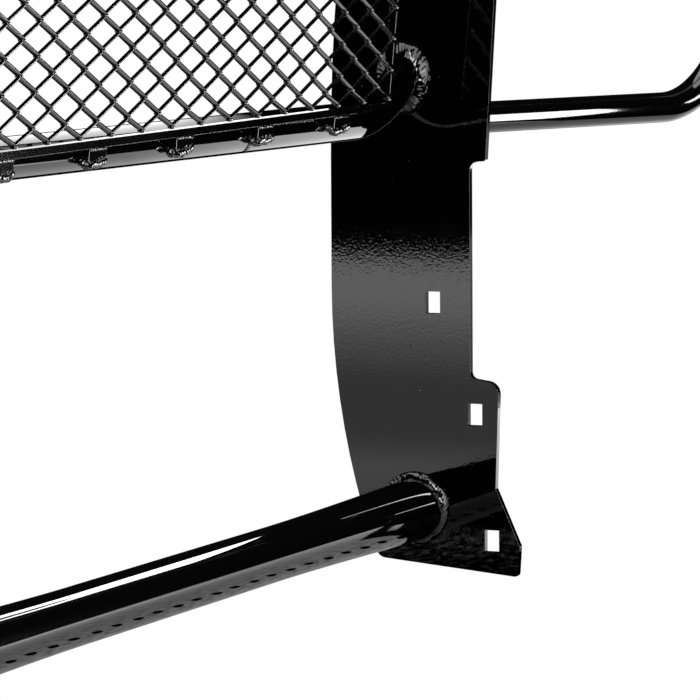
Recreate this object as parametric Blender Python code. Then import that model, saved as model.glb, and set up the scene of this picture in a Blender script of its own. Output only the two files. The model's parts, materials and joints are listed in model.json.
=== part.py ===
"""Welded front grille guard for a pickup truck.

Two quarter-inch upright plates carry everything: a lower and an upper rail with
swept ends, a heavy cross tube below, an expanded-metal insert in a square-bar
frame held to the rails by short tabs, and a tubular headlight hoop on each side.
The guard is one weldment, so nothing on it moves.

Metres, +Z up. X runs across the truck, the front of the truck is towards -Y.
The guard is symmetric about X = 0 and stands on the lower corners of its plates.
"""

import math

import bmesh
import bpy
from mathutils import Matrix, Vector

INCH = 0.0254
GAP = 0.0003                      # clearance between neighbouring welded pieces

# ---- overall layout -------------------------------------------------------
PLATE_SPACING = 0.973             # clear width between the two upright plates
PLATE_THICKNESS = 0.25 * INCH
RAIL_Z = 0.39072                  # lower rail axis above the lowest plate corner
RAIL_Y = -0.05749                 # lower rail axis, measured from mid depth
LEAN = math.radians(5.6)          # the rails and the insert lean back at the top

# ---- tubes ----------------------------------------------------------------
TUBE_FACETS = 28                  # flats round every tube
RAIL_RADIUS = 0.625 * INCH
RAIL_SPACING = 0.308              # between the two rail axes, in the leaning plane
RAIL_BEND_RADIUS = 0.178
RAIL_BEND_START = 0.110           # distance from the plate where the bend begins

CROSS_RADIUS = 0.875 * INCH
CROSS_END_RADIUS = 0.0268         # the cross tube flares where it meets a plate
CROSS_FLARE_LENGTH = 0.30
CROSS_Y = 0.0105                  # from the lower rail axis
CROSS_Z = -0.3375

HOOP_RADIUS = 0.01335
HOOP_START_Y = 0.025              # lower end on the plate, from the rail axis
HOOP_START_Z = -0.008
HOOP_SWEEP = 0.30                 # metres rearward per metre outboard
HOOP_FALL = 0.012                 # metres down per metre outboard
HOOP_STRAIGHT = 0.312             # outboard run before the corner bend
HOOP_BEND_RADIUS = 0.100
HOOP_HEIGHT = 0.292               # between its two horizontal runs

# ---- expanded-metal insert ------------------------------------------------
BAR = 0.25 * INCH                 # square bar of the insert frame
BAR_FRONT = 0.0162                # bar front face, behind the rail axis
BAR_INSET = 0.0073                # bar outer face above the rail axis
FRAME_HALF_WIDTH = 0.408
MESH_THICKNESS = 0.0034
LONG_PITCH = 0.05318              # long way of one diamond
ROWS = 11                         # diamonds between the two rails
NODE_INSET = 0.0122               # first row of joints above the rail axis
STRAND = 0.0048                   # width of a strand across its length

TAB_WIDTH = 0.030
TAB_PITCH = 6.0 * INCH
TAB_COUNT = 5
TAB_DROP = 0.0060                 # tab end below the rail axis

# ---- upright plate outline, measured from the lower rail axis -------------
SLOT_WIDTH = 0.5 * INCH
SLOT_HEIGHT = 0.0185
SLOTS = ((0.0277, -0.1614), (0.0655, -0.2551), (0.0803, -0.3615))
FRONT_Y = -0.0649
BACK_UPPER = ((0.0985, 0.3330), (0.0754, -0.0415))
BACK_STEP = (0.0612, -0.0425)
BACK_NOTCH = (0.0612, -0.2245)
LUG_TOP = (0.0868, -0.2280)
LUG_WAIST = (0.0837, -0.3170)
LUG_HEEL = (0.1052, -0.3650)
LUG_FOOT = (0.1035, -0.3910)
TOE = (-0.0225, -0.3795)
TOP_FRONT = (-0.0215, 0.3450)
FRONT_STRAIGHT = (-0.150, -0.040)  # heights between which the front edge is upright
FRONT_LOWER_RADIUS = 0.660
FRONT_UPPER_RADIUS = 1.650

POWDER_BLACK = (0.006, 0.006, 0.007, 1.0)


# ---- scene and helpers ----------------------------------------------------
def clear_scene():
    for old in list(bpy.data.objects):
        bpy.data.objects.remove(old, do_unlink=True)


def new_collection(name):
    group = bpy.data.collections.new(name)
    bpy.context.scene.collection.children.link(group)
    return group


def powder_coat(name, roughness):
    """Gloss black powder coat, one material for each piece."""
    mat = bpy.data.materials.new(name + "_powder_coat")
    mat.use_nodes = True
    shader = mat.node_tree.nodes["Principled BSDF"]
    shader.inputs["Base Color"].default_value = POWDER_BLACK
    shader.inputs["Roughness"].default_value = roughness
    shader.inputs["Metallic"].default_value = 0.0
    return mat


def finish_piece(obj, group, roughness=0.12, parent=None):
    group.objects.link(obj)
    obj.data.materials.append(powder_coat(obj.name, roughness))
    obj.parent = parent
    return obj


def box(name, low, high):
    """A bar or block between two corners."""
    shape = bmesh.new()
    bmesh.ops.create_cube(shape, size=1.0)
    size = [b - a for a, b in zip(low, high)]
    middle = [(a + b) / 2 for a, b in zip(low, high)]
    bmesh.ops.scale(shape, vec=size, verts=shape.verts)
    bmesh.ops.translate(shape, vec=middle, verts=shape.verts)
    mesh = bpy.data.meshes.new(name)
    shape.to_mesh(mesh)
    shape.free()
    return bpy.data.objects.new(name, mesh)


def tube_curve(name, points, radius, factors=None):
    """A round tube along a list of points."""
    curve = bpy.data.curves.new(name, "CURVE")
    curve.dimensions = "3D"
    curve.bevel_depth = radius
    curve.bevel_resolution = TUBE_FACETS // 2 - 2
    curve.use_fill_caps = True
    spline = curve.splines.new("POLY")
    spline.points.add(len(points) - 1)
    for index, place in enumerate(points):
        spline.points[index].co = (*place, 1.0)
        spline.points[index].radius = factors[index] if factors else 1.0
    return bpy.data.objects.new(name, curve)


def curve_to_mesh(obj):
    """Turns a tube curve into a closed mesh with welded caps."""
    scene = bpy.context.scene
    scene.collection.objects.link(obj)
    graph = bpy.context.evaluated_depsgraph_get()
    mesh = bpy.data.meshes.new_from_object(obj.evaluated_get(graph))
    shape = bmesh.new()
    shape.from_mesh(mesh)
    bmesh.ops.remove_doubles(shape, verts=shape.verts, dist=0.00001)
    bmesh.ops.recalc_face_normals(shape, faces=shape.faces)
    shape.to_mesh(mesh)
    shape.free()
    mesh.shade_smooth()
    mesh.set_sharp_from_angle(angle=math.radians(50))
    name = obj.name
    bpy.data.objects.remove(obj, do_unlink=True)
    return bpy.data.objects.new(name, mesh)


def cut(obj, cutter, operation):
    modifier = obj.modifiers.new(operation.title(), "BOOLEAN")
    modifier.operation = operation
    modifier.solver = "EXACT"
    modifier.object = cutter


def make_cutter(obj, group):
    group.objects.link(obj)
    obj.hide_render = True
    obj.display_type = "WIRE"
    return obj


def arc(centre, radius, start, end, steps):
    """Points of an arc in a plane, angles in radians."""
    angles = [start + (end - start) * i / steps for i in range(steps + 1)]
    return [(centre[0] + radius * math.cos(a), centre[1] + radius * math.sin(a)) for a in angles]


def fillet(before, corner, after, radius, steps=6):
    """Replaces an outline corner by an arc of the given radius."""
    corner = Vector(corner)
    to_before = (Vector(before) - corner).normalized()
    to_after = (Vector(after) - corner).normalized()
    half = to_before.angle(to_after) / 2
    reach = radius / math.tan(half)
    centre = corner + (to_before + to_after).normalized() * (radius / math.sin(half))
    first = corner + to_before * reach - centre
    last = corner + to_after * reach - centre
    turn = first.angle_signed(last)
    points = []
    for i in range(steps + 1):
        spin = Matrix.Rotation(-turn * i / steps, 2)
        points.append(tuple(centre + spin @ first))
    return points


def outline_object(name, loops, thickness):
    """A flat plate from closed outlines: the first is the rim, the rest are holes."""
    curve = bpy.data.curves.new(name, "CURVE")
    curve.dimensions = "2D"
    curve.fill_mode = "BOTH"
    curve.extrude = thickness / 2
    for loop in loops:
        spline = curve.splines.new("POLY")
        spline.points.add(len(loop) - 1)
        for index, (u, v) in enumerate(loop):
            spline.points[index].co = (u, v, 0.0, 1.0)
        spline.use_cyclic_u = True
    return bpy.data.objects.new(name, curve)


# ---- upright plates -------------------------------------------------------
def front_edge():
    """Front edge from the toe to the top: an arc, a straight and a flatter arc."""
    low, high = FRONT_STRAIGHT
    lower_centre = (FRONT_Y + FRONT_LOWER_RADIUS, low)
    toe_angle = math.asin((TOE[1] + 0.016 - low) / FRONT_LOWER_RADIUS)
    lower = arc(lower_centre, FRONT_LOWER_RADIUS, math.pi - toe_angle, math.pi, 9)
    upper_centre = (FRONT_Y + FRONT_UPPER_RADIUS, high)
    top_angle = math.asin((TOP_FRONT[1] - 0.030 - high) / FRONT_UPPER_RADIUS)
    upper = arc(upper_centre, FRONT_UPPER_RADIUS, math.pi, math.pi - top_angle, 9)
    return lower, upper


def plate_outline():
    lower, upper = front_edge()
    crown_back, back_foot = BACK_UPPER
    crown_front = (upper[-1][0] + 0.004, TOP_FRONT[1])
    outline = []
    outline += lower
    outline += upper
    outline += fillet(upper[-1], crown_front, crown_back, 0.022)
    outline += fillet(crown_front, crown_back, back_foot, 0.022)
    outline += fillet(crown_back, back_foot, BACK_STEP, 0.0015, 3)
    outline += fillet(back_foot, BACK_STEP, BACK_NOTCH, 0.008)
    outline += fillet(BACK_STEP, BACK_NOTCH, LUG_TOP, 0.006)
    outline += fillet(BACK_NOTCH, LUG_TOP, LUG_WAIST, 0.011)
    outline.append(LUG_WAIST)
    outline.append(LUG_HEEL)
    outline += fillet(LUG_HEEL, LUG_FOOT, TOE, 0.003, 3)
    outline += fillet(LUG_FOOT, TOE, lower[0], 0.010)
    return outline


def slot_outline(centre):
    half_w, half_h = SLOT_WIDTH / 2, SLOT_HEIGHT / 2
    y, z = centre
    return [(y - half_w, z - half_h), (y + half_w, z - half_h),
            (y + half_w, z + half_h), (y - half_w, z + half_h)]


def upright_plate(side, group):
    name = "upright_plate_right" if side < 0 else "upright_plate_left"
    loops = [plate_outline()] + [slot_outline(centre) for centre in SLOTS]
    plate = outline_object(name, loops, PLATE_THICKNESS)
    middle = side * (PLATE_SPACING + PLATE_THICKNESS) / 2
    plate.location = (middle, RAIL_Y, RAIL_Z)
    plate.rotation_euler = (math.pi / 2, 0, math.pi / 2)
    return finish_piece(plate, group, 0.08)


# ---- rails ----------------------------------------------------------------
def rail_path(rise_sign):
    """Straight rail whose ends sweep up or down before they meet the plates."""
    half = PLATE_SPACING / 2
    start = half - RAIL_BEND_START
    overrun = RAIL_RADIUS
    last = math.asin((RAIL_BEND_START + overrun) / RAIL_BEND_RADIUS)
    steps = 12
    end = []
    for i in range(steps + 1):
        angle = last * i / steps
        rise = RAIL_BEND_RADIUS * (1 - math.cos(angle))
        end.append((start + RAIL_BEND_RADIUS * math.sin(angle), 0.0, rise_sign * rise))
    other_end = [(-x, y, z) for x, y, z in reversed(end)]
    return other_end + end


def rail(name, height, rise_sign, plane, bay, group):
    path = [(x, y, z + height) for x, y, z in rail_path(rise_sign)]
    tube = curve_to_mesh(tube_curve(name, path, RAIL_RADIUS))
    cut(tube, bay, "INTERSECT")
    return finish_piece(tube, group, 0.10, plane)


# ---- cross tube -----------------------------------------------------------
def cross_tube(group):
    half = PLATE_SPACING / 2 - GAP
    growth = CROSS_END_RADIUS / CROSS_RADIUS - 1
    steps = 8
    points, factors = [], []
    for i in range(steps + 1):
        run = i / steps
        points.append((half - CROSS_FLARE_LENGTH * (1 - run), 0.0, 0.0))
        factors.append(1 + growth * run ** 1.5)
    points = [(-x, y, z) for x, y, z in reversed(points)] + points
    factors = factors[::-1] + factors
    tube = tube_curve("lower_cross_tube", points, CROSS_RADIUS, factors)
    tube.location = (0, RAIL_Y + CROSS_Y, RAIL_Z + CROSS_Z)
    return finish_piece(tube, group, 0.10)


# ---- headlight hoops ------------------------------------------------------
def hoop_path():
    """Centre line of the hoop on the -X side, in the frame of its lower end."""
    out = Vector((-1.0, HOOP_SWEEP, -HOOP_FALL))
    up = Vector((0.0, math.sin(LEAN), math.cos(LEAN)))
    level = out.normalized()
    rise = (up - level * up.dot(level)).normalized()
    radius = HOOP_BEND_RADIUS
    corner = out * HOOP_STRAIGHT
    inner = [out * -0.02, out * 0.10, out * 0.20]
    steps = 10
    lower_bend, upper_bend = [], []
    for i in range(steps + 1):
        angle = math.pi / 2 * i / steps
        side, lift = radius * math.sin(angle), radius * (1 - math.cos(angle))
        lower_bend.append(corner + level * side + rise * lift)
        upper_bend.append(corner + level * side + rise * (HOOP_HEIGHT - lift))
    top = rise * HOOP_HEIGHT
    back = [top + out * 0.20, top + out * 0.10, top - out * 0.02]
    return inner + lower_bend + upper_bend[::-1] + back


def headlight_hoop(side, plates_slab, group):
    name = "headlight_hoop_right" if side < 0 else "headlight_hoop_left"
    outer_face = PLATE_SPACING / 2 + PLATE_THICKNESS
    points = []
    for place in hoop_path():
        x = -outer_face + place.x
        points.append((-side * x, place.y, place.z))
    hoop = curve_to_mesh(tube_curve(name, points, HOOP_RADIUS))
    hoop.location = (0, RAIL_Y + HOOP_START_Y, RAIL_Z + HOOP_START_Z)
    cut(hoop, plates_slab, "DIFFERENCE")
    return finish_piece(hoop, group, 0.10)


# ---- expanded-metal insert ------------------------------------------------
def diamond(x, z, half_long, half_short):
    return [(x - half_long, z), (x, z - half_short), (x + half_long, z), (x, z + half_short)]


def mesh_panel(plane, group):
    """Flat lattice of diamonds behind the insert frame."""
    half_long = LONG_PITCH / 2
    half_short = (RAIL_SPACING - 2 * NODE_INSET) / (2 * ROWS)
    slope = math.hypot(half_long, half_short)
    open_long = half_long - STRAND / 2 * slope / half_short
    open_short = half_short - STRAND / 2 * slope / half_long
    margin = BAR_INSET + 0.001
    half_width = FRAME_HALF_WIDTH - 0.001
    rim = [(-half_width, margin), (half_width, margin),
           (half_width, RAIL_SPACING - margin), (-half_width, RAIL_SPACING - margin)]
    loops = [rim]
    reach = int((half_width - open_long - 0.002) / half_long)
    for column in range(-reach, reach + 1):
        first = 2 if column % 2 == 0 else 1
        for row in range(first, 2 * ROWS, 2):
            height = NODE_INSET + row * half_short
            loops.append(diamond(column * half_long, height, open_long, open_short))
    panel = outline_object("expanded_metal_panel", loops, MESH_THICKNESS)
    panel.location = (0, BAR_FRONT + BAR + GAP + MESH_THICKNESS / 2, 0)
    panel.rotation_euler = (math.pi / 2, 0, 0)
    return finish_piece(panel, group, 0.25, plane)


def insert_frame(plane, group):
    """Four square bars: two along the rails and two upright between them."""
    back = BAR_FRONT + BAR
    top = RAIL_SPACING - BAR_INSET
    spans = {
        "insert_bar_bottom": ((-FRAME_HALF_WIDTH, BAR_INSET), (FRAME_HALF_WIDTH, BAR_INSET + BAR)),
        "insert_bar_top": ((-FRAME_HALF_WIDTH, top - BAR), (FRAME_HALF_WIDTH, top)),
    }
    for side, label in ((-1, "right"), (1, "left")):
        outer = side * FRAME_HALF_WIDTH
        inner = outer - side * BAR
        spans["insert_bar_" + label] = ((min(outer, inner), BAR_INSET + BAR + GAP),
                                        (max(outer, inner), top - BAR - GAP))
    for name, ((x0, z0), (x1, z1)) in spans.items():
        bar = box(name, (x0, BAR_FRONT, z0), (x1, back, z1))
        finish_piece(bar, group, 0.12, plane)


def insert_tabs(plane, group):
    """Short flat tabs that carry the insert frame on the rails."""
    back = BAR_FRONT + BAR - GAP
    edge = BAR_INSET - GAP
    for number in range(TAB_COUNT):
        x = (number - (TAB_COUNT - 1) / 2) * TAB_PITCH
        x0, x1 = x - TAB_WIDTH / 2, x + TAB_WIDTH / 2
        low = box(f"insert_tab_lower_{number + 1}", (x0, BAR_FRONT, -TAB_DROP), (x1, back, edge))
        finish_piece(low, group, 0.12, plane)
        high = box(f"insert_tab_upper_{number + 1}", (x0, BAR_FRONT, RAIL_SPACING - edge),
                   (x1, back, RAIL_SPACING + TAB_DROP))
        finish_piece(high, group, 0.12, plane)


# ---- assembly -------------------------------------------------------------
def build():
    clear_scene()
    group = new_collection("front_grille_guard")
    cutters = new_collection("cutters")

    plane = bpy.data.objects.new("grille_plane", None)
    plane.location = (0, RAIL_Y, RAIL_Z)
    plane.rotation_euler = (-LEAN, 0, 0)
    group.objects.link(plane)

    half = PLATE_SPACING / 2
    bay = make_cutter(box("bay_between_plates", (-half + GAP, -0.3, -0.1),
                          (half - GAP, 0.3, 1.0)), cutters)
    slab = half + PLATE_THICKNESS + GAP
    plates_slab = make_cutter(box("plates_and_bay", (-slab, -0.4, -0.1),
                                  (slab, 0.4, 1.1)), cutters)

    for side in (-1, 1):
        upright_plate(side, group)
        headlight_hoop(side, plates_slab, group)
    rail("lower_rail", 0.0, 1, plane, bay, group)
    rail("upper_rail", RAIL_SPACING, -1, plane, bay, group)
    cross_tube(group)
    mesh_panel(plane, group)
    insert_frame(plane, group)
    insert_tabs(plane, group)


build()
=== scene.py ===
import json
import math
import random

import bmesh
import bpy
from mathutils import Matrix, Vector, noise

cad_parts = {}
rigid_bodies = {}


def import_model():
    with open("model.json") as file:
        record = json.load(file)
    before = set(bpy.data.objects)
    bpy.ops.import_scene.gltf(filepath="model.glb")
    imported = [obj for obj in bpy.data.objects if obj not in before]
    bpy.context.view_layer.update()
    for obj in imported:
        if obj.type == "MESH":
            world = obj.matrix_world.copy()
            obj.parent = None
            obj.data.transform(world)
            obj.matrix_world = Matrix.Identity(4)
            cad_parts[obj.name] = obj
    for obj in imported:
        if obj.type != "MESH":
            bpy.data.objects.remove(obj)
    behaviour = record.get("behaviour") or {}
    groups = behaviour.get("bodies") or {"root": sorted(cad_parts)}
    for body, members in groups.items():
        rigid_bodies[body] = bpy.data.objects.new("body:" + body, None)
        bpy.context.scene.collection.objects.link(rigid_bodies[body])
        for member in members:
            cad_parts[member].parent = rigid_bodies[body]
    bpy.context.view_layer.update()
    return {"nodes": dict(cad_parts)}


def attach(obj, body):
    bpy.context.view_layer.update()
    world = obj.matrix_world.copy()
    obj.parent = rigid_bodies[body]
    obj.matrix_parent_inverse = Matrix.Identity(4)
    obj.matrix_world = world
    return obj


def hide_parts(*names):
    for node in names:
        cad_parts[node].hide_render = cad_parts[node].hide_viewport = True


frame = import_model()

NODES = frame["nodes"]

# ---- the guard's dimensions, metres ---------------------------------------
HALF = 0.4865                     # inner face of a plate
OUTER = 0.49285                   # outer face of a plate
GAP = 0.0003
RAIL_Y = -0.05749
RAIL_Z = 0.39072
LEAN = math.radians(5.6)
RAIL_RADIUS = 0.015875
RAIL_SPACING = 0.308
RAIL_BEND_RADIUS = 0.178
RAIL_BEND_START = 0.110
RAIL_TILT = 0.0110                # the lower rail is slightly out of level in the photo
LOWER_RAIL_RISE = 0.00056
CROSS_RADIUS = 0.022225
CROSS_END_RADIUS = 0.0268
CROSS_FLARE = 0.30
CROSS_PLACE = (0.0105, -0.3375)
HOOP_RADIUS = 0.01335
HOOP_PLACE = (0.025, -0.008)
HOOP_OUT = Vector((-1.0, 0.30, -0.012))
HOOP_STRAIGHT = 0.312
HOOP_BEND = 0.100
HOOP_HEIGHT = 0.292
BAR = 0.00635
BAR_FRONT = 0.0162
BAR_INSET = 0.0073
FRAME_HALF_WIDTH = 0.408
LONG_PITCH = 0.05318
ROWS = 22
NODE_INSET = 0.0122
TAB_PITCH = 0.1524
TAB_WIDTH = 0.030
SIDES = ((-1, "right"), (1, "left"))


# ---- helpers --------------------------------------------------------------
def plane_point(x, back, up):
    """A point of the leaning grille plane: across, behind the rail axis, above it."""
    c, s = math.cos(LEAN), math.sin(LEAN)
    return Vector((x, RAIL_Y + back * c + up * s, RAIL_Z - back * s + up * c))


PLANE_UP = Vector((0.0, math.sin(LEAN), math.cos(LEAN)))
PLANE_BACK = Vector((0.0, math.cos(LEAN), -math.sin(LEAN)))


def add_piece(name, mesh, material, replaced=()):
    """Put a mesh in the scene as a visible piece that rides the fixed body."""
    obj = bpy.data.objects.new(name, mesh)
    bpy.context.scene.collection.objects.link(obj)
    mesh.materials.append(material)
    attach(obj, "root")
    if replaced:
        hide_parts(*replaced)
    return obj


def mesh_of(name, verts, faces, smooth_angle=40.0):
    """A smooth-shaded mesh with outward normals and sharp edges past the angle."""
    mesh = bpy.data.meshes.new(name)
    mesh.from_pydata([tuple(v) for v in verts], [], faces)
    shape = bmesh.new()
    shape.from_mesh(mesh)
    bmesh.ops.recalc_face_normals(shape, faces=shape.faces)
    shape.to_mesh(mesh)
    shape.free()
    mesh.shade_smooth()
    mesh.set_sharp_from_angle(angle=math.radians(smooth_angle))
    return mesh


# ---- materials ------------------------------------------------------------
PEEL_SCALE, PEEL_DEPTH = 560.0, 0.0001      # orange peel: waves per metre, metres
GRAIN_SCALE, GRAIN_DEPTH = 900.0, 0.00004
GLOSS_SCALE = 14.0
SPECK_SCALE = 1400.0
COAT_BLACK = (0.0015, 0.0015, 0.0017, 1.0)
DUST_GREY = (0.06, 0.06, 0.062, 1.0)


def noise_of(tree, place, scale, detail):
    texture = tree.nodes.new("ShaderNodeTexNoise")
    texture.inputs["Scale"].default_value = scale
    texture.inputs["Detail"].default_value = detail
    tree.links.new(place.outputs["Object"], texture.inputs["Vector"])
    return texture.outputs["Fac"]


def bump_of(tree, height, strength, distance):
    bump = tree.nodes.new("ShaderNodeBump")
    bump.inputs["Strength"].default_value = strength
    bump.inputs["Distance"].default_value = distance
    tree.links.new(height, bump.inputs["Height"])
    return bump


def powder_coat(name, roughness, peel, grain, dust, specular=0.5):
    """Gloss black powder coat: orange peel, fine grain, uneven gloss and a little dust."""
    mat = bpy.data.materials.new(name)
    mat.use_nodes = True
    tree = mat.node_tree
    nodes, links = tree.nodes, tree.links
    shader = nodes["Principled BSDF"]
    shader.inputs["IOR"].default_value = 1.5
    shader.inputs["Specular IOR Level"].default_value = specular
    place = nodes.new("ShaderNodeTexCoord")

    peel_bump = bump_of(tree, noise_of(tree, place, PEEL_SCALE, 0.4), peel, PEEL_DEPTH)
    grain_bump = bump_of(tree, noise_of(tree, place, GRAIN_SCALE, 2.0), grain, GRAIN_DEPTH)
    links.new(peel_bump.outputs["Normal"], grain_bump.inputs["Normal"])
    links.new(grain_bump.outputs["Normal"], shader.inputs["Normal"])

    gloss = nodes.new("ShaderNodeMapRange")
    gloss.inputs["To Min"].default_value = roughness * 0.7
    gloss.inputs["To Max"].default_value = roughness * 1.3
    links.new(noise_of(tree, place, GLOSS_SCALE, 4.0), gloss.inputs["Value"])
    links.new(gloss.outputs["Result"], shader.inputs["Roughness"])

    speck = nodes.new("ShaderNodeMapRange")
    speck.inputs["From Min"].default_value = 0.70
    speck.inputs["From Max"].default_value = 0.80
    speck.inputs["To Max"].default_value = dust
    links.new(noise_of(tree, place, SPECK_SCALE, 0.0), speck.inputs["Value"])
    tint = nodes.new("ShaderNodeMix")
    tint.data_type = "RGBA"
    tint.inputs[6].default_value = COAT_BLACK
    tint.inputs[7].default_value = DUST_GREY
    links.new(speck.outputs["Result"], tint.inputs[0])
    links.new(tint.outputs[2], shader.inputs["Base Color"])
    return mat


PLATE_COAT = powder_coat("plate_powder_coat", 0.03, 0.13, 0.03, dust=0.25)
TUBE_COAT = powder_coat("tube_powder_coat", 0.045, 0.05, 0.03, dust=0.08)
INSERT_COAT = powder_coat("insert_powder_coat", 0.10, 0.25, 0.2, dust=0.15, specular=0.95)
BAR_COAT = powder_coat("bar_powder_coat", 0.07, 0.25, 0.1, dust=0.10)
WELD_COAT = powder_coat("weld_powder_coat", 0.06, 0.5, 0.3, dust=0.05)


# ---- tubes ----------------------------------------------------------------
def sweep(path, radii, side_axis, segments=64):
    """A round tube along a planar path; side_axis is square to the path's plane."""
    verts, faces = [], []
    last = len(path) - 1
    for i, place in enumerate(path):
        along = (path[min(i + 1, last)] - path[max(i - 1, 0)]).normalized()
        other = side_axis.cross(along).normalized()
        for k in range(segments):
            turn = 2 * math.pi * k / segments
            verts.append(place + (side_axis * math.cos(turn) + other * math.sin(turn)) * radii[i])
    for i in range(last):
        for k in range(segments):
            a, b = i * segments + k, i * segments + (k + 1) % segments
            faces.append((a, b, b + segments, a + segments))
    return verts, faces


def trimmed_tube(name, path, radii, side_axis, planes):
    """A swept tube cut off and capped at the given x planes."""
    mesh = mesh_of(name, *sweep(path, radii, side_axis))
    shape = bmesh.new()
    shape.from_mesh(mesh)
    for x, outward in planes:
        geometry = shape.verts[:] + shape.edges[:] + shape.faces[:]
        bmesh.ops.bisect_plane(shape, geom=geometry, plane_co=(x, 0, 0),
                               plane_no=(outward, 0, 0), clear_outer=True)
    border = [edge for edge in shape.edges if edge.is_boundary]
    bmesh.ops.holes_fill(shape, edges=border, sides=0)
    bmesh.ops.recalc_face_normals(shape, faces=shape.faces)
    shape.to_mesh(mesh)
    shape.free()
    mesh.shade_smooth()
    mesh.set_sharp_from_angle(angle=math.radians(40))
    return mesh


def rail_path(height, rise_sign, tilt):
    """Centre line of a rail: straight, with both ends bent up or down to the plates."""
    start = HALF - RAIL_BEND_START
    last = math.asin((RAIL_BEND_START + 0.016) / RAIL_BEND_RADIUS)
    side = []
    for i in range(29):
        angle = last * i / 28
        rise = RAIL_BEND_RADIUS * (1 - math.cos(angle))
        side.append((start + RAIL_BEND_RADIUS * math.sin(angle), rise_sign * rise))
    straight = [(start * i / 12, 0.0) for i in range(-11, 12)]
    profile = [(-x, z) for x, z in reversed(side)] + straight + side
    return [plane_point(x, 0.0, height + z + tilt * x) for x, z in profile]


BETWEEN = ((HALF - GAP, 1), (-HALF + GAP, -1))
for name, height, sign, tilt in (("lower_rail", LOWER_RAIL_RISE, 1, RAIL_TILT),
                                 ("upper_rail", RAIL_SPACING, -1, 0.0)):
    path = rail_path(height, sign, tilt)
    mesh = trimmed_tube(name + "_tube", path, [RAIL_RADIUS] * len(path), PLANE_BACK, BETWEEN)
    add_piece(name + "_tube", mesh, TUBE_COAT, [name])

cross_path, cross_radii = [], []
for i in range(-30, 31):
    x = (HALF + 0.004) * i / 30
    run = max(0.0, (abs(x) - (HALF - CROSS_FLARE)) / CROSS_FLARE)
    cross_path.append(Vector((x, RAIL_Y + CROSS_PLACE[0], RAIL_Z + CROSS_PLACE[1])))
    cross_radii.append(CROSS_RADIUS + (CROSS_END_RADIUS - CROSS_RADIUS) * run ** 1.5)
mesh = trimmed_tube("cross_tube", cross_path, cross_radii, Vector((0, 1, 0)), BETWEEN)
add_piece("cross_tube", mesh, TUBE_COAT, ["lower_cross_tube"])


def hoop_path():
    """Centre line of the right hoop from the plate, and the normal of its plane."""
    out = HOOP_OUT
    level = out.normalized()
    rise = (PLANE_UP - level * PLANE_UP.dot(level)).normalized()
    corner = out * HOOP_STRAIGHT
    lower, upper = [], []
    for i in range(25):
        angle = math.pi / 2 * i / 24
        side, lift = HOOP_BEND * math.sin(angle), HOOP_BEND * (1 - math.cos(angle))
        lower.append(corner + level * side + rise * lift)
        upper.append(corner + level * side + rise * (HOOP_HEIGHT - lift))
    top = rise * HOOP_HEIGHT
    first = [out * run for run in (-0.02, 0.0, 0.05, 0.10, 0.15, 0.20, 0.25)]
    final = [top + out * run for run in (0.25, 0.20, 0.15, 0.10, 0.05, 0.0)] + [top - out * 0.02]
    return first + lower + upper[::-1] + final, level.cross(rise).normalized()


HOOP_POINTS, HOOP_NORMAL = hoop_path()
for side, label in SIDES:
    path = []
    for place in HOOP_POINTS:
        x = -OUTER + place.x
        path.append(Vector((-side * x, RAIL_Y + HOOP_PLACE[0] + place.y,
                            RAIL_Z + HOOP_PLACE[1] + place.z)))
    normal = Vector((-side * HOOP_NORMAL.x, HOOP_NORMAL.y, HOOP_NORMAL.z))
    mesh = trimmed_tube("hoop_tube_" + label, path, [HOOP_RADIUS] * len(path), normal,
                        [(side * (OUTER + GAP), -side)])
    add_piece("hoop_tube_" + label, mesh, TUBE_COAT, ["headlight_hoop_" + label])


# ---- expanded metal -------------------------------------------------------
STRAND_WIDTH = 0.0042
STRAND_THICKNESS = 0.0027
STRAND_TURN = math.radians(-50)
BOND_FLAT = 0.0020
BOND_OFFSET = Vector((0.0, 0.0, 0.00135))
LATTICE_BACK = 0.0222
LATTICE_LIFT = 0.0026
FIRST_JOINT_RISE = 0.0015           # the lowest joints sit higher, clear of the bar
KNUCKLE = (0.0034, 0.0031, 0.0020)     # half sizes of the swelling at a joint
HALF_SHORT = (RAIL_SPACING - 2 * NODE_INSET) / ROWS
FACE_0 = Vector((0.0, math.cos(STRAND_TURN), math.sin(STRAND_TURN)))
EDGE_0 = Vector((0.0, -math.sin(STRAND_TURN), math.cos(STRAND_TURN)))


def strand_section(along):
    """Eight corners of a strand's chamfered section, in (x, back, up)."""
    face = (FACE_0 - along * FACE_0.dot(along)).normalized()
    edge = along.cross(face)
    if edge.dot(EDGE_0) < 0:
        edge = -edge
    w, t, c = STRAND_WIDTH / 2, STRAND_THICKNESS / 2, 0.0007
    corners = ((w - c, t), (w, t - c), (w, c - t), (w - c, -t),
               (c - w, -t), (-w, c - t), (-w, t - c), (c - w, t))
    return [edge * a + face * b for a, b in corners]


def strand_row(row, limit):
    """Centre line of one zigzag strand, between its two rows of joints."""
    points = []
    step = LONG_PITCH / 2
    for n in range(-16, 17):
        # level of the joint that this strand touches at x = n * step
        odd = (n - row) % 2 != 0
        level = row if odd else row + 1
        up = NODE_INSET + level * HALF_SHORT
        shift = BOND_OFFSET * (1 if odd else -1)
        if level == 0:
            shift = shift + Vector((0.0, 0.0, FIRST_JOINT_RISE))
        for end in (-1, 1):
            points.append(Vector((n * step + end * BOND_FLAT / 2, shift.y, up + shift.z)))
    kept = []
    for a, b in zip(points, points[1:]):
        if abs(a.x) <= limit:
            kept.append(a)
        for edge in (-limit, limit):
            if (a.x - edge) * (b.x - edge) < 0:
                kept.append(a.lerp(b, (edge - a.x) / (b.x - a.x)))
    return sorted(kept, key=lambda p: p.x)


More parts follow.
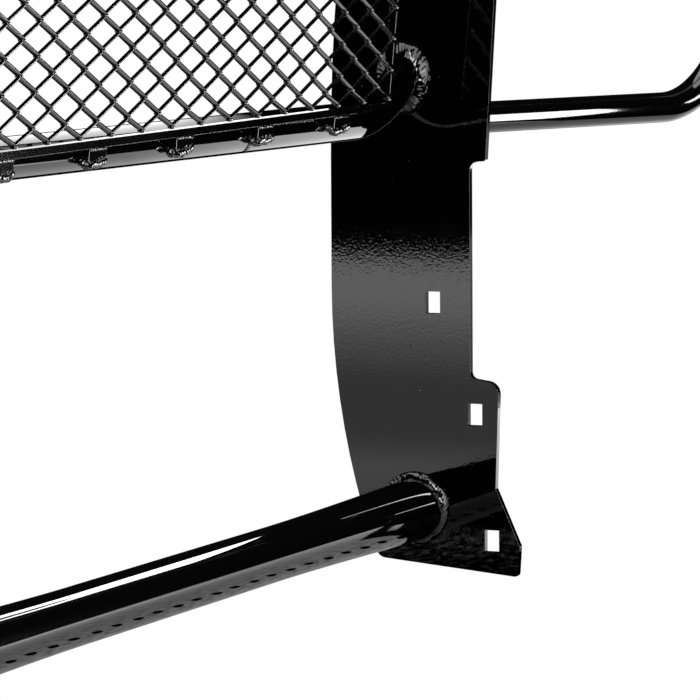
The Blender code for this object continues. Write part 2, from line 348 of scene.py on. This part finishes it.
def expanded_metal():
    """The whole lattice: zigzag strands, with a knuckle at every joint."""
    verts, faces = [], []
    for row in range(ROWS):
        line = strand_row(row, FRAME_HALF_WIDTH - 0.0006)
        base = len(verts)
        last = len(line) - 1
        for i, place in enumerate(line):
            before = (place - line[max(i - 1, 0)]).normalized()
            after = (line[min(i + 1, last)] - place).normalized()
            along = (before + after).normalized()
            wobble = 1.0 + 0.06 * noise.noise(Vector((place.x * 60, row * 3.1, 0.0)))
            for corner in strand_section(along):
                spot = place + corner * wobble
                verts.append(plane_point(spot.x, LATTICE_BACK + spot.y, LATTICE_LIFT + spot.z))
        for i in range(last):
            for k in range(8):
                a, b = base + i * 8 + k, base + i * 8 + (k + 1) % 8
                faces.append((a, b, b + 8, a + 8))
        faces.append(tuple(base + k for k in range(8)))
        faces.append(tuple(base + last * 8 + k for k in range(7, -1, -1)))
    ball = bmesh.new()
    bmesh.ops.create_icosphere(ball, subdivisions=2, radius=1.0)
    ball_spots = [vert.co.copy() for vert in ball.verts]
    ball_faces = [tuple(vert.index for vert in face.verts) for face in ball.faces]
    ball.free()
    for level in range(ROWS + 1):
        for n in range(-15, 16):
            if (n - level) % 2 == 0:
                continue
            up = NODE_INSET + LATTICE_LIFT + level * HALF_SHORT
            if level == 0:
                up += FIRST_JOINT_RISE
            base = len(verts)
            for spot in ball_spots:
                verts.append(plane_point(n * LONG_PITCH / 2 + spot.x * KNUCKLE[0],
                                         LATTICE_BACK + spot.y * KNUCKLE[1],
                                         up + spot.z * KNUCKLE[2]))
            faces += [tuple(base + index for index in face) for face in ball_faces]
    return mesh_of("expanded_metal", verts, faces, 80)


lattice = add_piece("expanded_metal", expanded_metal(), INSERT_COAT,
                    ["expanded_metal_panel"])
weighted = lattice.modifiers.new("Flat faces", "WEIGHTED_NORMAL")
weighted.keep_sharp = True


# ---- CAD pieces that stay, with softened edges ----------------------------
def soften(obj, width, material):
    """Round a CAD piece's edges with modifiers and give it its coat."""
    weld = obj.modifiers.new("Join", "WELD")
    weld.merge_threshold = 0.00002
    bevel = obj.modifiers.new("Soft edges", "BEVEL")
    bevel.width = width
    bevel.segments = 3
    bevel.limit_method = "ANGLE"
    bevel.angle_limit = math.radians(35)
    bevel.harden_normals = True
    obj.data.materials.clear()
    obj.data.materials.append(material)


for node_name, node in NODES.items():
    if node_name.startswith("upright_plate"):
        soften(node, 0.0007, PLATE_COAT)
    elif node_name.startswith("insert_"):
        soften(node, 0.0006, BAR_COAT)


# ---- welds ----------------------------------------------------------------
BEAD_PITCH = 0.0042
LUMP_PITCH = 0.0030


def ring_weld(name, rings, inner, direction, x_plate, seed):
    """A rippled fillet weld round a tube, from a ring on the tube to a toe on the plate."""
    steps, profile = 168, 9
    perimeter = 2 * math.pi * (rings[2][3] + rings[2][4]) / 2
    beads = round(perimeter / BEAD_PITCH)
    verts, faces = [], []
    for k in range(steps):
        turn = 2 * math.pi * k / steps
        spots = []
        for x, cy, cz, ry, rz in rings:
            spots.append(Vector((x_plate + direction * x,
                                 RAIL_Y + cy + ry * math.cos(turn),
                                 RAIL_Z + cz + rz * math.sin(turn))))
        outward = Vector((direction * 0.7, math.cos(turn) * 0.7, math.sin(turn) * 0.7))
        for i in range(profile):
            s = i / (profile - 1)
            spot = spots[0] * (1 - s) ** 2 + spots[1] * 2 * s * (1 - s) + spots[2] * s ** 2
            crest = math.sin(math.pi * s)
            phase = turn * beads / (2 * math.pi) - 0.9 * s
            phase += 0.5 * noise.noise(Vector((math.cos(turn) * 5, math.sin(turn) * 5, seed)))
            scallop = 1 - abs(2 * (phase % 1.0) - 1) ** 2
            wave = noise.noise(Vector((math.cos(turn) * 3 + seed, math.sin(turn) * 3, s)))
            grit = noise.noise(spot * 420 + Vector((seed, 0, 0)))
            push = crest * (0.0004 * scallop + 0.0014 * wave + 0.0006 * grit)
            verts.append(spot + outward * push)
        x, cy, cz, ry, rz = inner
        verts.append(Vector((x_plate + direction * x, RAIL_Y + cy + ry * math.cos(turn),
                             RAIL_Z + cz + rz * math.sin(turn))))
    count = profile + 1
    for k in range(steps):
        a, b = k * count, ((k + 1) % steps) * count
        for i in range(count):
            j = (i + 1) % count
            faces.append((a + i, a + j, b + j, b + i))
    return add_piece(name, mesh_of(name, verts, faces, 60), WELD_COAT)


def lump_run(name, points, radius, seed):
    """A short irregular weld run along a line of points."""
    verts, faces = [], []
    segments = 12
    fine = []
    for a, b in zip(points, points[1:]):
        count = max(2, round((b - a).length / 0.0008))
        fine += [a.lerp(b, i / count) for i in range(count)]
    fine.append(points[-1])
    last = len(fine) - 1
    run = 0.0
    for i, place in enumerate(fine):
        along = (fine[min(i + 1, last)] - fine[max(i - 1, 0)]).normalized()
        side = along.cross(PLANE_UP).normalized()
        top = side.cross(along)
        if i:
            run += (place - fine[i - 1]).length
        near_end = min(i, last - i) / 4
        end = math.sqrt(max(0.02, 1 - (1 - near_end) ** 2)) if near_end < 1 else 1.0
        for k in range(segments):
            turn = 2 * math.pi * k / segments
            outward = side * math.cos(turn) + top * math.sin(turn)
            wave = 0.35 * noise.noise(Vector((run * 260, seed * 7.3, 0)))
            grit = 0.30 * noise.noise((place + outward * radius) * 500 + Vector((seed, 0, 0)))
            scallop = 0.14 * (1 - abs(2 * ((run / LUMP_PITCH) % 1.0) - 1) ** 2)
            verts.append(place + outward * radius * end * (1 + wave + grit + scallop))
    for i in range(last):
        for k in range(segments):
            a, b = i * segments + k, i * segments + (k + 1) % segments
            faces.append((a, b, b + segments, a + segments))
    faces.append(tuple(range(segments)))
    faces.append(tuple(last * segments + k for k in range(segments - 1, -1, -1)))
    return add_piece(name, mesh_of(name, verts, faces, 70), WELD_COAT)


RAIL_RISE = RAIL_BEND_RADIUS * (1 - math.cos(math.asin(RAIL_BEND_START / RAIL_BEND_RADIUS)))
RAIL_SLOPE = math.tan(math.asin(RAIL_BEND_START / RAIL_BEND_RADIUS))
for side, label in SIDES:
    x_plate = side * (HALF - GAP)
    for rail_name, height, sign in (("lower", LOWER_RAIL_RISE + RAIL_TILT * side * HALF, 1),
                                    ("upper", RAIL_SPACING, -1)):
        at_plate = height + sign * RAIL_RISE
        centre_y = at_plate * math.sin(LEAN)
        centre_z = at_plate * math.cos(LEAN)
        tall = RAIL_RADIUS * math.sqrt(1 + RAIL_SLOPE ** 2)
        stand = 0.009
        drop = -sign * stand * RAIL_SLOPE
        rings = ((stand, centre_y + drop * math.sin(LEAN), centre_z + drop, RAIL_RADIUS - 0.0001,
                  tall - 0.0001),
                 (0.0062, centre_y - 0.0010, centre_z - sign * 0.0055, 0.0215, 0.0280),
                 (0.0002, centre_y - 0.0017, centre_z - sign * 0.0060, 0.0250, 0.0315))
        inner = (0.0001, centre_y, centre_z, RAIL_RADIUS - 0.0006, tall - 0.0006)
        ring_weld(f"weld_{rail_name}_rail_{label}", rings, inner, -side, x_plate,
                  seed=3.1 + side + 5 * sign)
    cy, cz = CROSS_PLACE
    rings = ((0.0055, cy, cz, CROSS_END_RADIUS - 0.0005, CROSS_END_RADIUS - 0.0005),
             (0.0045, cy, cz + 0.0008, 0.0300, 0.0300),
             (0.0002, cy, cz + 0.0012, 0.0312, 0.0312))
    inner = (0.0001, cy, cz, CROSS_END_RADIUS - 0.001, CROSS_END_RADIUS - 0.001)
    ring_weld("weld_cross_tube_" + label, rings, inner, -side, x_plate, seed=11.7 + side)
    x_outer = side * (OUTER + GAP)
    rise = Vector(HOOP_POINTS[-1]) - Vector(HOOP_POINTS[0])
    for level, shift in (("lower", Vector((0, 0, 0))), ("upper", rise)):
        cy = HOOP_PLACE[0] + shift.y + shift.x * 0.30
        cz = HOOP_PLACE[1] + shift.z
        wide = HOOP_RADIUS * 1.044
        rings = ((0.0050, cy + 0.0015, cz, wide - 0.0001, HOOP_RADIUS - 0.0001),
                 (0.0040, cy + 0.0006, cz, wide + 0.0038, HOOP_RADIUS + 0.0038),
                 (0.0002, cy, cz, wide + 0.0055, HOOP_RADIUS + 0.0055))
        inner = (0.0001, cy, cz, wide - 0.0006, HOOP_RADIUS - 0.0006)
        ring_weld(f"weld_hoop_{level}_{label}", rings, inner, side, x_outer,
                  seed=21.3 + side + shift.z * 9)

for index in range(5):
    x = (index - 2) * TAB_PITCH
    rng = random.Random(40 + index)
    for place, seed in (("lower", index), ("upper", index + 9)):
        reach = TAB_WIDTH / 2
        route = [(reach + 0.0022, 0.0160, -0.0015), (reach + 0.0024, 0.0200, -0.0035),
                 (reach - 0.0005, 0.0228, -0.0045), (reach * 0.5, 0.0232, -0.0040),
                 (0.0, 0.0226, -0.0052), (-reach * 0.5, 0.0232, -0.0036),
                 (0.001 - reach, 0.0228, -0.0010)]
        points = []
        for across, back, up in route:
            up += rng.uniform(-0.0010, 0.0010)
            height = up if place == "lower" else RAIL_SPACING - up
            points.append(plane_point(x + across, back - 0.0012, height))
        lump_run(f"weld_tab_{place}_{index + 1}", points, 0.0029, seed)
        edge = BAR_INSET - 0.0006 if place == "lower" else RAIL_SPACING - BAR_INSET + 0.0006
        points = [plane_point(x - reach + 2 * reach * i / 6, BAR_FRONT + BAR - 0.0004, edge)
                  for i in range(7)]
        lump_run(f"weld_bar_{place}_{index + 1}", points, 0.0011, seed + 20)

# ---- spatter on the plates ------------------------------------------------
for side, label in SIDES:
    shape = bmesh.new()
    rng = random.Random(7 + side)
    spots = [(0.0076, -0.1989, 0.0011), (0.0151, -0.2368, 0.0012)]
    for _ in range(22):
        spots.append((rng.uniform(-0.045, 0.055), rng.uniform(-0.30, 0.10),
                      rng.uniform(0.0003, 0.0006)))
    for y, z, radius in spots:
        place = Matrix.Translation((side * HALF, RAIL_Y + y, RAIL_Z + z))
        squash = Matrix.Diagonal((0.5, 1.0, 1.2, 1.0))
        bmesh.ops.create_icosphere(shape, subdivisions=2, radius=radius, matrix=place @ squash)
    mesh = bpy.data.meshes.new("weld_spatter_" + label)
    shape.to_mesh(mesh)
    shape.free()
    mesh.shade_smooth()
    add_piece("weld_spatter_" + label, mesh, WELD_COAT)


# ---- stage ----------------------------------------------------------------
scene = bpy.context.scene
FLOOR_Z = -0.0005


def shade_along(tree, place, axis, stops):
    """A grey ramp along one world axis; stops are (metres, value up to 1)."""
    split = tree.nodes.new("ShaderNodeSeparateXYZ")
    tree.links.new(place.outputs["Object"], split.inputs[0])
    low, high = stops[0][0], stops[-1][0]
    span = tree.nodes.new("ShaderNodeMapRange")
    span.inputs["From Min"].default_value = low
    span.inputs["From Max"].default_value = high
    tree.links.new(split.outputs[axis], span.inputs["Value"])
    grade = tree.nodes.new("ShaderNodeValToRGB")
    while len(grade.color_ramp.elements) < len(stops):
        grade.color_ramp.elements.new(0.5)
    for index, (where, value) in enumerate(stops):
        element = grade.color_ramp.elements[index]
        element.position = (where - low) / (high - low)
        element.color = (value, value, value, 1.0)
    tree.links.new(span.outputs[0], grade.inputs[0])
    return grade.outputs[0]


def emitter(name, corners, strength, camera_sees=False, ramps=(), grain=None, through=False):
    """A flat light source: a white card in the studio.

    ramps are (axis, stops); grain is the noise's low and high level and its darkest value;
    through lets everything behind the card show as well.
    """
    mesh = bpy.data.meshes.new(name)
    mesh.from_pydata([tuple(c) for c in corners], [], [tuple(range(len(corners)))])
    card = bpy.data.objects.new(name, mesh)
    scene.collection.objects.link(card)
    mat = bpy.data.materials.new(name)
    mat.use_nodes = True
    tree = mat.node_tree
    tree.nodes.clear()
    out = tree.nodes.new("ShaderNodeOutputMaterial")
    glow = tree.nodes.new("ShaderNodeEmission")
    glow.inputs["Strength"].default_value = strength
    surface = glow.outputs[0]
    if through:
        clear = tree.nodes.new("ShaderNodeBsdfTransparent")
        both = tree.nodes.new("ShaderNodeAddShader")
        tree.links.new(glow.outputs[0], both.inputs[0])
        tree.links.new(clear.outputs[0], both.inputs[1])
        surface = both.outputs[0]
    tree.links.new(surface, out.inputs[0])
    place = tree.nodes.new("ShaderNodeTexCoord")
    factors = [shade_along(tree, place, axis, stops) for axis, stops in ramps]
    if grain:
        stretch = tree.nodes.new("ShaderNodeMapping")
        stretch.inputs["Scale"].default_value = (60.0, 110.0, 1.0)
        tree.links.new(place.outputs["Object"], stretch.inputs["Vector"])
        patch = tree.nodes.new("ShaderNodeTexNoise")
        patch.inputs["Scale"].default_value = 1.0
        patch.inputs["Detail"].default_value = 3.0
        patch.inputs["Roughness"].default_value = 0.65
        tree.links.new(stretch.outputs[0], patch.inputs["Vector"])
        level = tree.nodes.new("ShaderNodeMapRange")
        for socket, value in zip(("From Min", "From Max", "To Min"), grain):
            level.inputs[socket].default_value = value
        tree.links.new(patch.outputs[0], level.inputs["Value"])
        factors.append(level.outputs[0])
    total = factors[0] if factors else None
    for factor in factors[1:]:
        times = tree.nodes.new("ShaderNodeMix")
        times.data_type = "RGBA"
        times.blend_type = "MULTIPLY"
        times.inputs[0].default_value = 1.0
        tree.links.new(total, times.inputs[6])
        tree.links.new(factor, times.inputs[7])
        total = times.outputs[2]
    if total:
        tree.links.new(total, glow.inputs["Color"])
    mesh.materials.append(mat)
    card.visible_camera = camera_sees
    card.visible_diffuse = name.startswith("box_")
    card.visible_shadow = False
    return card


def pads(name, spots, radius):
    """Small dark pads on the bench; only their mirror image is seen."""
    verts, faces = [], []
    sides = 14
    for x, y in spots:
        base = len(verts)
        for k in range(sides):
            turn = 2 * math.pi * k / sides
            verts.append((x + radius * math.cos(turn), y + radius * math.sin(turn),
                          FLOOR_Z + 0.0003))
        faces.append(tuple(range(base, base + sides)))
    mesh = bpy.data.meshes.new(name)
    mesh.from_pydata(verts, [], faces)
    pad = bpy.data.objects.new(name, mesh)
    scene.collection.objects.link(pad)
    mat = bpy.data.materials.new(name)
    mat.use_nodes = True
    shader = mat.node_tree.nodes["Principled BSDF"]
    shader.inputs["Base Color"].default_value = (0, 0, 0, 1)
    shader.inputs["Specular IOR Level"].default_value = 0.0
    mesh.materials.append(mat)
    pad.visible_camera = False
    pad.visible_shadow = False


def flat(x0, y0, x1, y1, z):
    """Corners of a level rectangle."""
    return ((x0, y0, z), (x1, y0, z), (x1, y1, z), (x0, y1, z))


def upright(x, y0, z0, y1, z1):
    """Corners of a standing rectangle that faces along x."""
    return ((x, y0, z0), (x, y1, z0), (x, y1, z1), (x, y0, z1))


def linked(card, listeners, state="INCLUDE"):
    """Let only these objects, or all but them, see the card."""
    group = bpy.data.collections.new(card.name + "_listeners")
    for listener in listeners:
        group.objects.link(listener)
    for entry in group.collection_objects:
        entry.light_linking.link_state = state
    card.light_linking.receiver_collection = group


RAIL = bpy.data.objects["lower_rail_tube"]
CROSS = bpy.data.objects["cross_tube"]
LATTICE = bpy.data.objects["expanded_metal"]
HOOPS = [bpy.data.objects["hoop_tube_right"], bpy.data.objects["hoop_tube_left"]]
PLATES = [NODES["upright_plate_right"], NODES["upright_plate_left"]]
BARS = [node for node_name, node in NODES.items() if node_name.startswith("insert_bar")]
WELDS = [obj for obj in bpy.data.objects if obj.name.startswith("weld_")]

CAMERA_PLACE = Vector((3.6965, 1.6595, 0.6287))
ABOVE_FLOOR = FLOOR_Z + 0.0002

# the plain white floor, which nothing mirrors
floor = emitter("floor", flat(-80, -80, 80, 80, FLOOR_Z - 0.002), 1.0, camera_sees=True)
floor.visible_glossy = False

# bench that the tubes mirror, in the guard's own shade under the cross tube
BENCH_Y = ((-0.28, 0.45), (-0.18, 0.45), (-0.10, 0.12), (-0.045, 0.14), (0.05, 0.24),
           (0.144, 0.40), (0.336, 0.90), (0.38, 1.0), (0.41, 1.0))
BENCH_X = ((-0.62, 0.95), (-0.3, 0.85), (0.4, 0.85))
BENCH_FAR_X = ((-3.0, 1.0), (-1.5, 0.96), (-1.30, 0.62), (-1.15, 0.58), (-0.9, 0.42),
               (-0.62, 0.34))
WORN, SPECKLED = (0.40, 0.56, 0.55), (0.50, 0.66, 0.0)
bench = emitter("bench", flat(-0.62, -0.28, 0.4, 0.41, FLOOR_Z), 3.9,
                ramps=((1, BENCH_Y), (0, BENCH_X)), grain=WORN)
linked(bench, [RAIL] + PLATES, "EXCLUDE")
bench_far = emitter("bench_far", flat(-3.0, -0.28, -0.62, 0.41, FLOOR_Z), 3.7,
                    ramps=((0, BENCH_FAR_X),))
linked(bench_far, [RAIL] + HOOPS, "EXCLUDE")
hoop_bench = emitter("bench_far_for_hoop", flat(-3.0, -0.28, -0.62, 0.41, ABOVE_FLOOR), 1.3,
                     ramps=((0, BENCH_FAR_X),), through=True)
linked(hoop_bench, HOOPS)
PAD_PITCH = 0.0364
pads("bench_pads", [(0.4530 - PAD_PITCH * k, -0.015 + 0.003 * (k % 2)) for k in range(28)],
     radius=0.0088)
emitter("bench_step", flat(-1.12, 0.42, -0.60, 0.62, FLOOR_Z), 1.4)

# what the plates mirror: faint speckle low down, and the floor beyond the bench
SPECKLE_X = ((-0.47, 0.15), (-0.36, 0.5), (-0.27, 1.0), (-0.22, 0.7), (-0.19, 0.0))
speckle = emitter("bench_speckle", flat(-0.47, -0.28, -0.19, 0.25, ABOVE_FLOOR), 1.3,
                  ramps=((0, SPECKLE_X),), grain=SPECKLED, through=True)
linked(speckle, PLATES)
BEYOND_X = ((-0.05, 0.0), (0.0, 0.45), (0.20, 0.50), (0.45, 0.28), (1.0, 0.28), (1.5, 0.62),
            (1.94, 1.0), (2.6, 1.0))
emitter("floor_beyond", flat(-0.05, -1.6, 2.6, -0.285, FLOOR_Z), 2.7, ramps=((0, BEYOND_X),))


def rail_bounce(x, depth):
    """Where the lower rail mirrors to from the main view: a start and a direction.

    depth runs from 0 in the middle of the tube's silhouette to 1 at its lower edge.
    """
    axis = Vector((x, RAIL_Y, RAIL_Z + x * RAIL_TILT))
    sight = (axis - CAMERA_PLACE).normalized()
    slope, spread = math.atan2(-sight.z, -sight.y), math.hypot(sight.y, sight.z)
    bend = math.asin(depth)
    normal, away = slope - bend, slope - 2 * bend
    return (axis + Vector((0.0, RAIL_RADIUS * math.cos(normal), RAIL_RADIUS * math.sin(normal))),
            Vector((sight.x, spread * math.cos(away), spread * math.sin(away))))


# light on top of the lower rail: a card just above it
CARD_END, OVER_END, ABOVE = 0.60, -0.45, 0.0305
OVER_FRONT, OVER_REAR = RAIL_Y - 0.0246, RAIL_Y + 0.0168
OVER_X = ((-0.45, 0.0), (-0.20, 0.0), (-0.02, 0.9), (0.60, 1.0))
over_corners = [(x, y, RAIL_Z + ABOVE + x * RAIL_TILT)
                for x, y in ((OVER_END, OVER_FRONT), (CARD_END, OVER_FRONT),
                             (CARD_END, OVER_REAR), (OVER_END, OVER_REAR))]
over_card = emitter("card_over_rail", over_corners, 3.5, ramps=((0, OVER_X),), through=True)
linked(over_card, [RAIL])

# the light band under the lower rail: a flat card below it, and a fan before the plate
BAND_DEPTHS = (0.35, 0.42, 0.50, 0.60, 0.70, 0.80, 0.90)
SWITCH_X, END_X, FAN_X, BELOW = -0.137, -0.366, -0.470, 0.0295
END_SLANT = 0.012
under_edge, fan_far, fan_near = [], [], []
for depth in BAND_DEPTHS:
    start, course = rail_bounce(SWITCH_X, depth)
    reach = (start.z - (RAIL_Z - BELOW + SWITCH_X * RAIL_TILT)) / -course.z
    under_edge.append(start + course * reach)
    fan_far.append(start + course * ((FAN_X - start.x) / course.x))
    start, course = rail_bounce(END_X - END_SLANT * (depth > 0.45), depth)
    fan_near.append(start + course * ((FAN_X - start.x) / course.x))
UNDER_X = ((-0.35, 0.85), (-0.20, 0.63), (0.03, 0.36), (0.60, 0.30))
under_far = [Vector((CARD_END, point.y, RAIL_Z - BELOW + CARD_END * RAIL_TILT))
             for point in reversed(under_edge)]
under_card = emitter("card_under_rail", under_edge + under_far, 2.8, ramps=((0, UNDER_X),),
                     through=True)
linked(under_card, [RAIL])
FAN_Z = ((0.20, 0.50), (0.245, 0.56), (0.305, 0.74), (0.390, 1.0))
fan_card = emitter("card_fan_for_rail", fan_far + fan_near[::-1], 2.8, ramps=((2, FAN_Z),),
                   through=True)
linked(fan_card, [RAIL])

# cards for the insert's bars, the welds, the hoops and the cross tube
bar_card = emitter("card_for_bars", upright(-3.0, -3.2, 0.46, 0.45, 2.2), 2.2, through=True)
linked(bar_card, BARS)
weld_card = emitter("card_for_welds", ((1.6, 1.2, 0.7), (3.0, -0.4, 0.7), (2.6, -0.2, 2.6),
                                       (1.4, 1.2, 2.6)), 16.0, through=True)
linked(weld_card, WELDS)
emitter("card_rear_low", ((0.5, 3.5, 0.0), (2.3, 3.5, 0.0), (2.3, 3.5, 1.0), (0.5, 3.5, 1.0)),
        9.0)
emitter("card_for_hoop", ((-1.30, 0.83, 0.0), (-0.5, 0.83, 0.0), (-0.5, 0.83, 0.55),
                          (-1.30, 0.83, 0.55)), 18.0)
CROSS_STRIPS = (
    ("strip_for_cross_tube", -0.40, 9.0,
     ((-0.080, 0.185), (-0.012, 0.26), (-0.004, 0.46), (-0.160, 0.46))),
    ("thin_strip_upper", -0.47, 5.0,
     ((-0.0023, 0.1512), (-0.0039, 0.1512), (-0.0267, 0.0689), (-0.0251, 0.0689))),
    ("thin_strip_lower", -0.47, 4.0,
     ((0.0134, 0.0772), (0.0134, 0.0760), (-0.0275, 0.0591), (-0.0275, 0.0603))))
for name, x, strength, outline in CROSS_STRIPS:
    strip = emitter(name, [(x, y, z) for y, z in outline], strength, through=True)
    linked(strip, [CROSS])

# large soft boxes overhead and all round, beyond what the main view mirrors
overhead = emitter("box_overhead", flat(-1.6, -1.6, 1.6, 1.6, 2.6), 3.5)
linked(overhead, [RAIL, LATTICE] + PLATES, "EXCLUDE")
emitter("box_front", ((-1.8, -3.4, 0.6), (1.8, -3.4, 0.6), (1.8, -3.0, 2.4), (-1.8, -3.0, 2.4)),
        2.0)
emitter("box_rear", ((-0.4, 3.6, 1.0), (1.8, 3.6, 1.0), (1.8, 3.2, 2.6), (-0.4, 3.2, 2.6)), 5.0)

# dim floor at either side, mirrored only by the outer faces of the plates
SIDE_NEAR, SIDE_FAR = 0.60, 4.0
SIDE_Y = ((-2.5, 1.0), (0.35, 1.0), (0.60, 0.30), (2.5, 0.30))
for (side, label), plate in zip(SIDES, PLATES):
    low, high = sorted((side * SIDE_NEAR, side * SIDE_FAR))
    side_x = ((low, 0.25), (high, 1.0)) if side > 0 else ((low, 1.0), (high, 0.25))
    side_card = emitter("floor_side_" + label, flat(low, -2.5, high, 2.5, FLOOR_Z + 0.0004),
                        1.6, ramps=((0, side_x), (1, SIDE_Y)), through=True)
    linked(side_card, [plate])

world = bpy.data.worlds.new("studio")
scene.world = world
world.use_nodes = True
tree = world.node_tree
tree.nodes.clear()
out = tree.nodes.new("ShaderNodeOutputWorld")
mix = tree.nodes.new("ShaderNodeMixShader")
path_info = tree.nodes.new("ShaderNodeLightPath")
dark = tree.nodes.new("ShaderNodeBackground")
dark.inputs["Color"].default_value = (0.003, 0.003, 0.003, 1.0)
bright = tree.nodes.new("ShaderNodeBackground")
bright.inputs["Color"].default_value = (1.0, 1.0, 1.0, 1.0)
tree.links.new(path_info.outputs["Is Camera Ray"], mix.inputs[0])
tree.links.new(dark.outputs[0], mix.inputs[1])
tree.links.new(bright.outputs[0], mix.inputs[2])
tree.links.new(mix.outputs[0], out.inputs[0])

# ---- camera ---------------------------------------------------------------
azimuth, down, roll = math.radians(112.88), math.radians(5.56), math.radians(-0.34)
look = Vector((-math.sin(azimuth) * math.cos(down), math.cos(azimuth) * math.cos(down),
               -math.sin(down)))
right = look.cross(Vector((0, 0, 1))).normalized()
up = right.cross(look)
across = right * math.cos(roll) + up * math.sin(roll)
upward = up * math.cos(roll) - right * math.sin(roll)
lens = bpy.data.cameras.new("camera")
lens.lens = 276.74
lens.sensor_width = 36
lens.clip_end = 300
camera = bpy.data.objects.new("camera", lens)
scene.collection.objects.link(camera)
place = Matrix.Identity(4)
for i in range(3):
    place[i][0], place[i][1], place[i][2] = across[i], upward[i], -look[i]
place.translation = CAMERA_PLACE
camera.matrix_world = place
scene.camera = camera
scene.view_settings.view_transform = "Standard"
